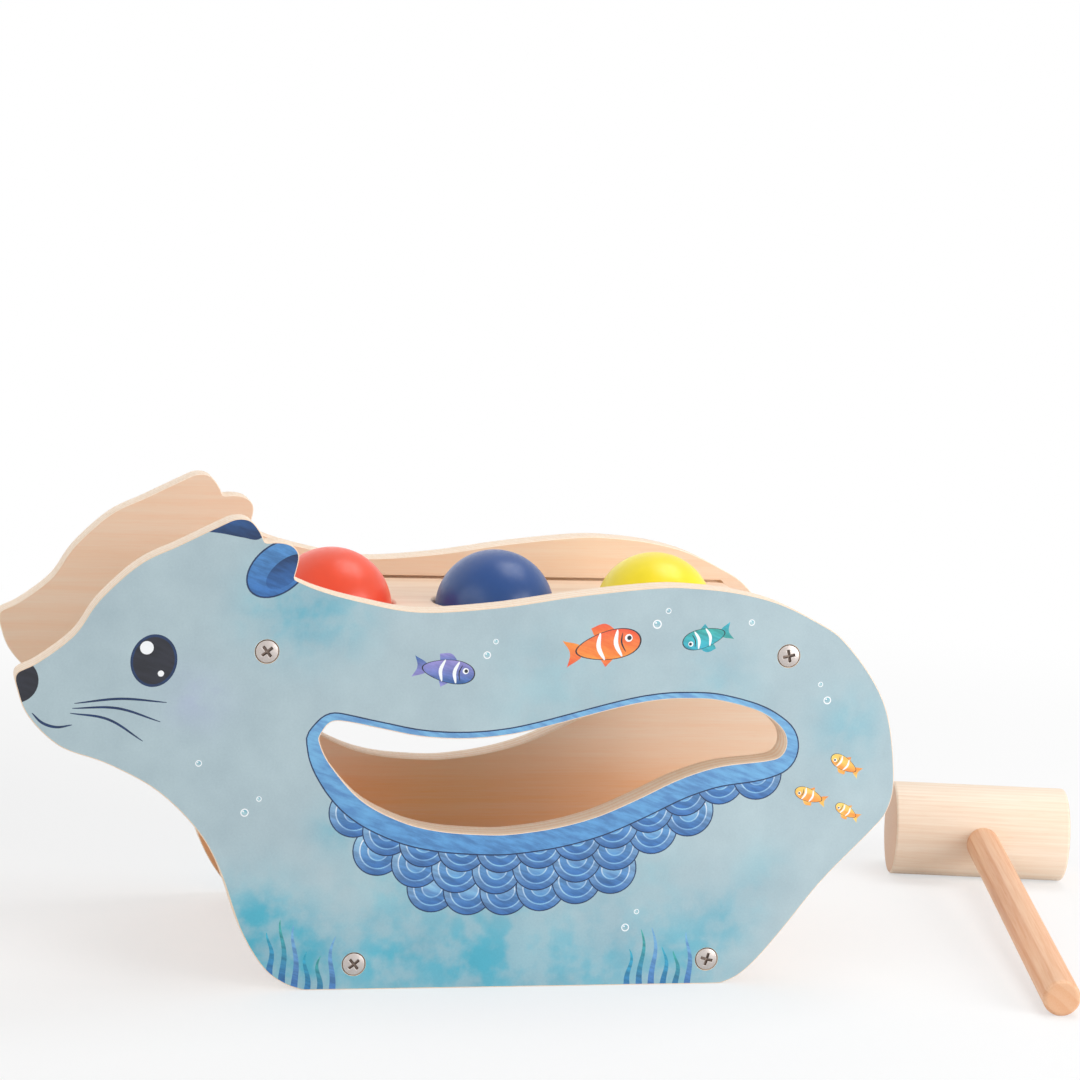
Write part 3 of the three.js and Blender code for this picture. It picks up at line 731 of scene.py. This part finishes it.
def addPanels(finishes):   # the outline given a depth, with the print's lines drawn into its outer face
    outline, cutOut = panelLoops()
    rims = [loop + leftNormals(loop) * panel["edge"] for loop in (outline, cutOut)]
    low, high = nodeBox("front_side_panel")
    seatRadius = screw["headRadius"] + panel["seatGap"] + panel["lip"]
    for name in screwTurns:
        centre = nodeCentre("front_screw_" + name)
        rims.append(ellipse(centre[0], centre[2], 2 * seatRadius, steps=panel["seatSides"])[::-1])
    areas = seaDesign(cutOut)
    # spare points between the lines let the colours fade smoothly
    margin = panel["margin"]
    xs, zs = [np.arange(low[k] + margin, high[k] - margin, panel["grid"]) for k in (0, 2)]
    spare = np.stack(np.meshgrid(xs, zs), -1).reshape(-1, 2)
    spare = spare[insideLoop(spare, rims[0]) & ~insideLoop(spare, rims[1])]
    walls = panelWalls(high[1] - low[1])
    boardLow, boardHigh = nodeBox("pounding_board")
    long, tall = boardHigh[0] - boardLow[0] + 2 * panel["grooveGap"], panel["grooveTall"]
    groove = roundedRectangle(long, tall, panel["grooveRound"] * tall)[::-1]
    groove = groove + (0, boardHigh[2] + panel["grooveGap"] - tall / 2)
    verts, faceSets, flat = plate(rims, walls, [area["shape"] for area in areas], spare,
                                  [(groove, panel["grooveDeep"])])
    region = paintedRegions(flat, faceSets[0]["faces"], areas)
    for side, way in (("front", 1), ("back", -1)):
        level = nodeBox(side + "_side_panel")[0 if way > 0 else 1][1]
        solid = placed(verts, (0, level, 0), (1, 0, 0), (0, 0, 1), (0, way, 0))
        piece = addPiece(side + "_side_panel", "stand", solid, faceSets, finishes)
        paintPiece(piece, region, areas)
    print("side panels:", len(faceSets[0]["faces"]), "printed triangles,", len(areas), "painted areas")


def paintedRegions(flat, cap, areas):   # the last area that covers a triangle gives its colour
    centres = flat[cap].mean(1)
    region = np.full(len(cap), -1)
    for number, area in enumerate(areas):
        low, high = area["shape"].min(0), area["shape"].max(0)
        near = np.flatnonzero(((centres > low) & (centres < high)).all(1))
        if len(near):
            region[near[insideLoop(centres[near], area["shape"])]] = number
    return region


def setColours(mesh, name, colours):
    mesh.color_attributes.new(name, "FLOAT_COLOR", "CORNER").data.foreach_set("color", colours.ravel())


def paintPiece(piece, region, areas):   # the print's faces come first in the mesh
    mesh = piece.data
    at = meshPoints(mesh)[cornerNumbers(mesh)][:, [0, 2]]
    cornerRegion = np.full(len(at), -1)
    cornerRegion[:3 * len(region)] = np.repeat(region, 3)
    colours = np.ones((len(at), 4))
    colours[:, :3] = srgb(*palette["ground"])
    colours[:, 3] = cornerRegion >= 0
    for number, area in enumerate(areas):
        own = cornerRegion == number
        if not own.any():
            continue
        heights = area["shape"][:, 1]
        share = np.clip((heights.max() - at[own, 1]) / np.ptp(heights), 0, 1)[:, None]
        first, second = srgb(*palette[area["colour"]]), srgb(*palette[area["fade"]])
        colours[own, :3] = (1 - share) * first + share * second
    setColours(mesh, "paint", colours)
    wash = np.zeros((len(at), 4))
    for place, width, colour, strength in washSpots:   # gaussian spots that tint the ground colour
        amount = strength * np.exp(-((at - place) ** 2).sum(1) / width**2)[:, None]
        wash[:, :3] += amount * srgb(*palette[colour])
        wash[:, 3:] += amount
    wash[:, :3] /= np.maximum(wash[:, 3:], 1e-6)
    wash[:, 3] = np.where(cornerRegion < 0, np.minimum(wash[:, 3], 1), 0)
    setColours(mesh, "wash", wash)


def screwSurface(length):
    # domed head on a polar grid, lowered where the arms of the cross recess run, then rim, cone and shank
    radius = np.linspace(screw["innermost"], 1, screw["rings"])[:, None] * screw["headRadius"]
    a = np.arange(screw["sides"])[None] * 2 * math.pi / screw["sides"]
    across, along = np.abs(radius * np.cos(a)), np.abs(radius * np.sin(a))
    long, short = np.maximum(across, along), np.minimum(across, along)
    inArm = (np.clip((screw["armWidth"] / 2 - short) / screw["sideEase"] + 0.5, 0, 1)
             * np.clip((screw["arm"] - long) / screw["endEase"] + 0.5, 0, 1))
    depth = screw["recess"] * (1 - screw["endRise"] * long / screw["arm"])
    height = screw["dome"] * (1 - (radius / screw["headRadius"]) ** 2) - inArm * depth
    below = np.array([(screw["headRadius"], -screw["rim"]), (screw["shankRadius"], -screw["headDepth"]),
                      (screw["shankRadius"], screw["tip"] - length), (screw["point"], -length)])
    rows = np.concatenate([radius[:, 0], below[:, 0]])
    heights = np.concatenate([height, np.repeat(below[:, 1:], screw["sides"], 1)])
    verts, faceSets = turnedGrid(rows, heights, screw["sides"])
    quads = faceSets[0]["faces"]
    # faces in the arms of the cross take the darker second finish: painted shade in the recess
    sunk = np.append(inArm.ravel() > 0.5, np.zeros(len(verts) - inArm.size, bool))[quads].any(1)
    return verts, [dict(faces=quads[~sunk]), dict(faces=quads[sunk], material=1), faceSets[1]]


def addScrews(nickel, recess):
    for side, way in (("front", -1), ("back", 1)):
        for name, turn in screwTurns.items():
            node = f"{side}_screw_{name}"
            low, high = nodeBox(node)
            level = nodeBox(side + "_side_panel")[0 if way < 0 else 1][1]
            verts, faceSets = screwSurface(high[1] - low[1] - screw["dome"])
            spin = math.radians(turn)
            axisX = (math.cos(spin), 0, math.sin(spin))
            axisY = (-math.sin(spin), 0, math.cos(spin))
            centre = nodeCentre(node)
            solid = placed(verts, (centre[0], level, centre[2]), axisX, axisY, (0, way, 0))
            addPiece(node, "stand", solid, faceSets, [nickel, recess])
    print("screws:", 2 * len(screwTurns))


# Boards
ballColours = dict(red=(246, 80, 46), blue=(26, 72, 138), yellow=(250, 228, 26))   # a hole for each
board = dict(edge=0.6, corner=1.5, chamfer=1.2, ballPlay=0.6, grooveGap=0.3, sides=96)


def addPoundingBoard(wood):   # rounded rectangle with chamfered holes, each with a groove for its ring
    low, high = nodeBox("pounding_board")
    size = high - low
    edge = board["edge"]
    rims = [roundedRectangle(size[0] - 2 * edge, size[1] - 2 * edge, board["corner"])]
    walls = [roundedWall(size[2], edge)]
    for colour in ballColours:
        ballLow, ballHigh = nodeBox("ball_" + colour)
        ringLow, ringHigh = nodeBox("grip_ring_" + colour)
        hole = (ballHigh[0] - ballLow[0]) / 2 + board["ballPlay"]
        mouth = hole + board["chamfer"]
        groove = (ringHigh[0] - ringLow[0]) / 2 + board["grooveGap"]
        top = high[2] - ringHigh[2] - board["grooveGap"]
        bottom = high[2] - ringLow[2] + board["grooveGap"]
        bore, seat = mouth - hole, mouth - groove
        rims.append(ellipse((ballLow[0] + ballHigh[0]) / 2, 0, 2 * mouth, steps=board["sides"])[::-1])
        walls.append(np.array([(0, 0), (bore, board["chamfer"]), (bore, top), (seat, top), (seat, bottom),
                               (bore, bottom), (bore, size[2])]))
    place = (0, 0, high[2]), (1, 0, 0), (0, 1, 0), (0, 0, -1)
    addSlab("pounding_board", "stand", rims, walls, place, wood)
    print("pounding board")


def addBlock(node, body, finish, edge=0.8, corner=1.2):   # a rounded rectangle given a depth
    low, high = nodeBox(node)
    size = high - low
    rims = [roundedRectangle(size[0] - 2 * edge, size[1] - 2 * edge, corner)]
    centre = (low + high) / 2
    place = (centre[0], centre[1], high[2]), (1, 0, 0), (0, 1, 0), (0, 0, -1)
    addSlab(node, body, rims, [roundedWall(size[2], edge)], place, finish)
    print(node.replace("_", " "))


# Balls and rings
ball = dict(rings=64, sides=128, pole=0.002)
gripRing = dict(steps=96, sides=20)


def addBall(colour, levels):   # circles of radius r sin a at the height -r cos a, from pole to pole
    node = "ball_" + colour
    low, high = nodeBox(node)
    radius = (high[2] - low[2]) / 2
    a = np.linspace(ball["pole"], math.pi - ball["pole"], ball["rings"])
    verts, faceSets = turnedGrid(radius * np.sin(a), -radius * np.cos(a), ball["sides"])
    slot = colour + "_lacquer"
    finish = lacquerFinish(slot, levels)
    addPiece(node, colour + "_ball", verts + (low + high) / 2, faceSets, [finish])


def addGripRing(colour, rubber):   # a circle of the ring's section carried round the hole
    node = "grip_ring_" + colour
    low, high = nodeBox(node)
    section = (high[2] - low[2]) / 2
    steps, sides = gripRing["steps"], gripRing["sides"]
    a = np.arange(steps)[:, None] * 2 * math.pi / steps
    b = np.arange(sides) * 2 * math.pi / sides
    reach = (high[0] - low[0]) / 2 - section + section * np.cos(b)
    rise = section * np.sin(b) * np.ones_like(a)
    verts = np.stack([reach * np.cos(a), reach * np.sin(a), rise], -1).reshape(-1, 3)
    quads = gridQuads(steps + 1, sides) % len(verts)   # the last row meets the first
    addPiece(node, "stand", verts + (low + high) / 2, [dict(faces=quads)], [rubber])


def addBalls(rubber):
    for colour, levels in ballColours.items():
        addBall(colour, levels)
        addGripRing(colour, rubber)
    print("balls and grip rings:", len(ballColours))


# Xylophone
bar = dict(width=16.0, thickness=2.2, corner=2.5, edge=0.45, pinHole=1.6, holeEdge=0.25, holeSides=32)
barColours = dict(
    bar_red=(216, 62, 50), bar_orange=(236, 132, 44), bar_yellow=(244, 206, 52), bar_green=(112, 180, 72),
    bar_teal=(46, 160, 146), bar_sky=(62, 138, 204), bar_blue=(44, 78, 146), bar_violet=(124, 82, 160),
)
barCount = len(barColours)
pin = dict(radius=1.3, headRadius=3.0, headHeight=1.2, fullness=0.7, foot=0.02, crown=0.01, sides=40)
felt = dict(width=6.0, edge=0.3, corner=0.5)
rail = dict(width=9.0, edge=0.6)
scoop = dict(radius=16.0, depth=6.0, steps=24)


def deckAxes():   # the bars' middles lie on the sloping deck
    first, last = nodeCentre("tone_bar_1"), nodeCentre(f"tone_bar_{barCount}")
    along = unit(last - first)
    return along, np.array([0, 1, 0]), np.cross(along, (0, 1, 0))


def addToneBars():   # rounded rectangles with two pin holes, given a depth square to the deck
    along, across, up = deckAxes()
    for number, (slot, levels) in enumerate(barColours.items(), 1):
        node = f"tone_bar_{number}"
        low, high = nodeBox(node)
        length = high[1] - low[1]
        edge = bar["edge"]
        rims = [roundedRectangle(bar["width"] - 2 * edge, length - 2 * edge, bar["corner"] - edge)]
        walls = [roundedWall(bar["thickness"], edge)]
        for side in ("front", "back"):
            y = nodeCentre(f"bar_pin_{side}_{number}")[1]
            rims.append(ellipse(0, y, 2 * (bar["pinHole"] + bar["holeEdge"]), steps=bar["holeSides"])[::-1])
            walls.append(roundedWall(bar["thickness"], bar["holeEdge"], 3))
        place = (low + high) / 2 + up * bar["thickness"] / 2, along, across, -up
        finish = lacquerFinish(slot, levels, rough=0.34, peelScale=60, peelDepth=0.005)
        addSlab(node, "xylophone", rims, walls, place, finish)
    print("tone bars:", barCount)


def addPins(nickel):   # a straight shank under a domed head, whose radius is r cos a to a power under one
    along, across, up = deckAxes()
    a = np.linspace(0, math.pi / 2, 10)
    dome = pin["headRadius"] * np.cos(a) ** pin["fullness"] + pin["crown"]
    radius = np.concatenate([[pin["foot"], pin["radius"], pin["radius"]], dome])
    for side in ("front", "back"):
        for number in range(1, barCount + 1):
            node = f"bar_pin_{side}_{number}"
            centre = nodeCentre(node)
            level = nodePoints(node) @ up
            foot, crown = level.min() - centre @ up, level.max() - centre @ up
            neck = crown - pin["headHeight"]
            height = np.concatenate([[foot, foot, neck], crown - pin["headHeight"] * (1 - np.sin(a))])
            verts, faceSets = turnedGrid(radius, height, pin["sides"])
            solid = placed(verts, centre, along, across, up)
            addPiece(node, "xylophone", solid, faceSets, [nickel])
    print("bar pins:", 2 * barCount)


def railLine(side):   # the pins stand in a line along the rail
    return unit(nodeCentre(f"bar_pin_{side}_{barCount}") - nodeCentre(f"bar_pin_{side}_1"))


def addFelts(finish):   # thin strips with rounded edges, square to the deck
    up = deckAxes()[2]
    for side in ("front", "back"):
        node = f"xylophone_{side}_felt"
        along = railLine(side)
        thickness = np.ptp(nodePoints(node) @ up)
        length = np.ptp(nodePoints(node) @ along)
        edge = felt["edge"]
        rims = [roundedRectangle(length - 2 * edge, felt["width"] - 2 * edge, felt["corner"])]
        place = nodeCentre(node) + up * thickness / 2, along, np.cross(up, along), -up
        addSlab(node, "xylophone", rims, [roundedWall(thickness, edge, 4)], place, finish)
    print("felt strips: 2")


def addRails(beech):   # wedges that fall as the deck does
    slope = deckAxes()[0]
    fall = -slope[2] / slope[0]
    for side in ("front", "back"):
        node = f"xylophone_{side}_rail"
        low, high = nodeBox(node)
        line = railLine(side)
        along = unit((line[0], line[1], 0))
        length = np.ptp(nodePoints(node) @ along)
        tall = high[2] - low[2]
        edge = rail["edge"]
        wedge = np.array([(0, 0), (length, 0), (length, tall - fall * length), (0, tall)]) - (length / 2, 0)
        rims = [wedge + leftNormals(wedge) * edge]
        across = np.cross((0, 0, 1), along)
        centre = (low + high) / 2
        origin = np.array([centre[0], centre[1], low[2]]) - across * rail["width"] / 2
        place = origin, along, (0, 0, 1), across
        addSlab(node, "xylophone", rims, [roundedWall(rail["width"], edge)], place, beech)
    print("rails: 2")


def addHeadBlock(beech):   # cross block with a round finger scoop in its top edge
    node = "xylophone_head_block"
    low, high = nodeBox(node)
    edge = rail["edge"]
    half = (high[1] - low[1]) / 2
    tall = high[2] - low[2]
    radius, middle = scoop["radius"], scoop["radius"] - scoop["depth"]
    reach = math.acos(middle / radius)
    a = np.linspace(reach, -reach, scoop["steps"])
    arc = np.stack([radius * np.sin(a), tall + middle - radius * np.cos(a)], 1)
    outline = np.concatenate([[(-half, 0), (half, 0), (half, tall)], arc, [(-half, tall)]])
    rims = [outline + leftNormals(outline) * edge]
    place = (low[0], 0, low[2]), (0, 1, 0), (0, 0, 1), (1, 0, 0)
    addSlab(node, "xylophone", rims, [roundedWall(high[0] - low[0], edge)], place, beech)
    print("head block")


# Hammer
hammer = dict(headEdge=1.3, handleEdge=1.8, point=0.05, sides=128)


def hammerAxes():   # along the handle, away from the head, and along the head
    handle = longAxis("hammer_handle")
    handle = handle * np.sign((nodeCentre("hammer_handle") - nodeCentre("hammer_head")) @ handle)
    return handle, unit(np.cross((0, 0, 1), handle))


def turnedBar(start, end, radius, edge):   # straight turned bar with rounded ends
    out, along = roundedWall(end - start, edge, 6).T
    radii = np.concatenate([[hammer["point"]], radius - edge + out, [hammer["point"]]])
    return turnedGrid(radii, np.concatenate([[start], start + along, [end]]), hammer["sides"])


def addHammer(headWood, handleWood):
    handle, head = hammerAxes()
    up = np.cross(handle, head)
    centre = nodeCentre("hammer_head")
    along = (nodePoints("hammer_head") - centre) @ head
    radius = centre[2] - nodeBox("hammer_head")[0][2]
    verts, faceSets = turnedBar(along.min(), along.max(), radius, hammer["headEdge"])
    solid = placed(verts, centre, handle, up, head)
    addPiece("hammer_head", "hammer", solid, faceSets, [headWood])
    points = nodePoints("hammer_handle") - centre
    reach = points @ handle
    thick = np.linalg.norm(points - reach[:, None] * handle, axis=1).max()
    verts, faceSets = turnedBar(reach.min(), reach.max(), thick, hammer["handleEdge"])
    solid = placed(verts, centre, head, up, handle)
    addPiece("hammer_handle", "hammer", solid, faceSets, [handleWood])
    print("hammer")


# Floor, light and backdrop
light = dict(sky=0.38, floorSize=60, floorTone=0.43, floorGlow=0.56, clearFrom=0.3, clearTo=0.85,
             floorBounce=(236, 236, 236))
lamps = dict(   # soft boxes at the tail's side and overhead, and even light from the head's side and behind
    key_light=dict(kind="AREA", energy=12.0, source=(1.02, -0.96, 0.42), size=0.9),
    top_light=dict(kind="AREA", energy=4.0, source=(0.4, 0.1, 1.1), size=0.6),
    fill_light=dict(kind="SUN", energy=1.0, source=(-1.0, -0.55, 0.3), angle=math.radians(60)),
    back_light=dict(kind="SUN", energy=0.45, source=(-0.5, 1.0, 0.6), angle=math.radians(80)),
)


def addLamp(name, kind, energy, source, **settings):
    data = bpy.data.lights.new(name, kind)
    data.energy = energy
    for setting, value in settings.items():
        setattr(data, setting, value)
    lamp = bpy.data.objects.new(name, data)
    back = unit(source)
    side = unit(np.cross((0, 0, 1), back))
    turn = Matrix(np.array([side, np.cross(back, side), back]).T.tolist()).to_4x4()
    lamp.matrix_world = Matrix.Translation(source) @ turn
    lamp.visible_camera = False
    bpy.context.scene.collection.objects.link(lamp)


def seenDirectly(tree):   # one for rays from the camera and for what metal and glass reflect
    path = addNode(tree, "LightPath").outputs
    seen = maths(tree, "MAXIMUM", path["Is Camera Ray"], path["Is Glossy Ray"])
    return maths(tree, "MAXIMUM", seen, path["Is Transmission Ray"])


def addStudio():
    world = bpy.data.worlds.new("studio")
    bpy.context.scene.world = world
    world.use_nodes = True
    tree = world.node_tree
    background = tree.nodes["Background"]
    background.inputs["Color"].default_value = (1, 1, 1, 1)
    strength = maths(tree, "MULTIPLY_ADD", seenDirectly(tree), 1 - light["sky"], light["sky"])
    plug(tree, background.inputs["Strength"], strength)
    for name, lamp in lamps.items():
        addLamp(name, **lamp)
    half = light["floorSize"] / 2
    mesh = bpy.data.meshes.new("floor")
    corners = [(-half, -half, 0), (half, -half, 0), (half, half, 0), (-half, half, 0)]
    mesh.from_pydata(corners, [], [(0, 1, 2, 3)])
    floor = bpy.data.objects.new("floor", mesh)
    bpy.context.scene.collection.objects.link(floor)
    material, tree, shader = newFinish("pale_floor")
    seen = seenDirectly(tree)
    away = addNode(tree, "VectorMath", {0: objectPlace(tree)}, operation="LENGTH").outputs["Value"]
    tone = spread(tree, away, light["clearFrom"], light["clearTo"], (light["floorTone"], 0.0))
    glow = spread(tree, away, light["clearFrom"], light["clearTo"], (light["floorGlow"], 1.0))
    plug(tree, shader.inputs["Base Color"], mixColour(tree, seen, rgba(light["floorBounce"]), tone))
    shader.inputs["Emission Color"].default_value = (1, 1, 1, 1)
    plug(tree, shader.inputs["Emission Strength"], maths(tree, "MULTIPLY", seen, glow))
    shader.inputs["Roughness"].default_value = 0.9
    shader.inputs["Specular IOR Level"].default_value = 0.0
    mesh.materials.append(material)
    bpy.context.scene.view_settings.view_transform = "Standard"
    print("studio")


addCamera()
nickel = nickelFinish("nickel", (212, 205, 201), (178, 167, 161), 0.34)
rubber = rubberFinish()
# painted shade: the birch is darker and warmer below 63 mm, on the panels' inner faces and the bottom board
birch = woodFinish("birch", (240, 216, 192), (235, 168, 108), (228, 190, 158), ringWidth=6.5,
                   pith=(90, 160), ring=0.06, fibre=0.1, streak=0.14, fleck=0.06, shadeBelow=63)
boardBirch = woodFinish("board_birch", (250, 226, 202), (226, 186, 152), (232, 196, 164), ringWidth=5.5,
                        pith=(40, 130), ring=0.12, fibre=0.18, streak=0.35, fleck=0.12)
beechTones = (240, 204, 168), (212, 160, 120), (220, 176, 138)   # light, dark and end grain
beech = woodFinish("beech", *beechTones)
crossBeech = woodFinish("cross_beech", *beechTones, grainAxis=(0, 1, 0), turn=(0, 0, math.pi / 2))
handleAxis, headAxis = hammerAxes()
headYaw = math.atan2(headAxis[1], headAxis[0])
headBeech = woodFinish("pale_beech", (253, 236, 216), (238, 206, 176), (228, 184, 152), ringWidth=2.2,
                       pith=(70, 40), grainAxis=headAxis, turn=(0, 0, headYaw),
                       centre=nodeCentre("hammer_head"), ring=0.2)
handleYaw = math.atan2(handleAxis[1], handleAxis[0])
handleTilt = -math.asin(handleAxis[2])
handleBeech = woodFinish("handle_beech", (246, 204, 168), (222, 162, 120), (230, 182, 144), ringWidth=4.5,
                         pith=(26, 30), grainAxis=handleAxis, turn=(0, handleTilt, handleYaw),
                         centre=nodeCentre("hammer_handle"), ring=0.4, streak=0.4)
panelLow, panelHigh = nodeBox("front_side_panel")
addPanels([printFinish(), plyFinish(-panelHigh[1], panelHigh[1] - panelLow[1]), birch])
# the second, darker nickel is painted shade in the screws' cross recess
addScrews(nickel, nickelFinish("recess", (150, 134, 124), (104, 90, 82), 0.5))
addPoundingBoard(boardBirch)
addBlock("bottom_board", "stand", birch)
addBalls(rubber)
addToneBars()
addPins(nickel)
addFelts(feltFinish())
addRails(beech)
addHeadBlock(crossBeech)
addBlock("xylophone_tail_block", "xylophone", crossBeech, 0.6, 0.8)
addHammer(headBeech, handleBeech)
addStudio()
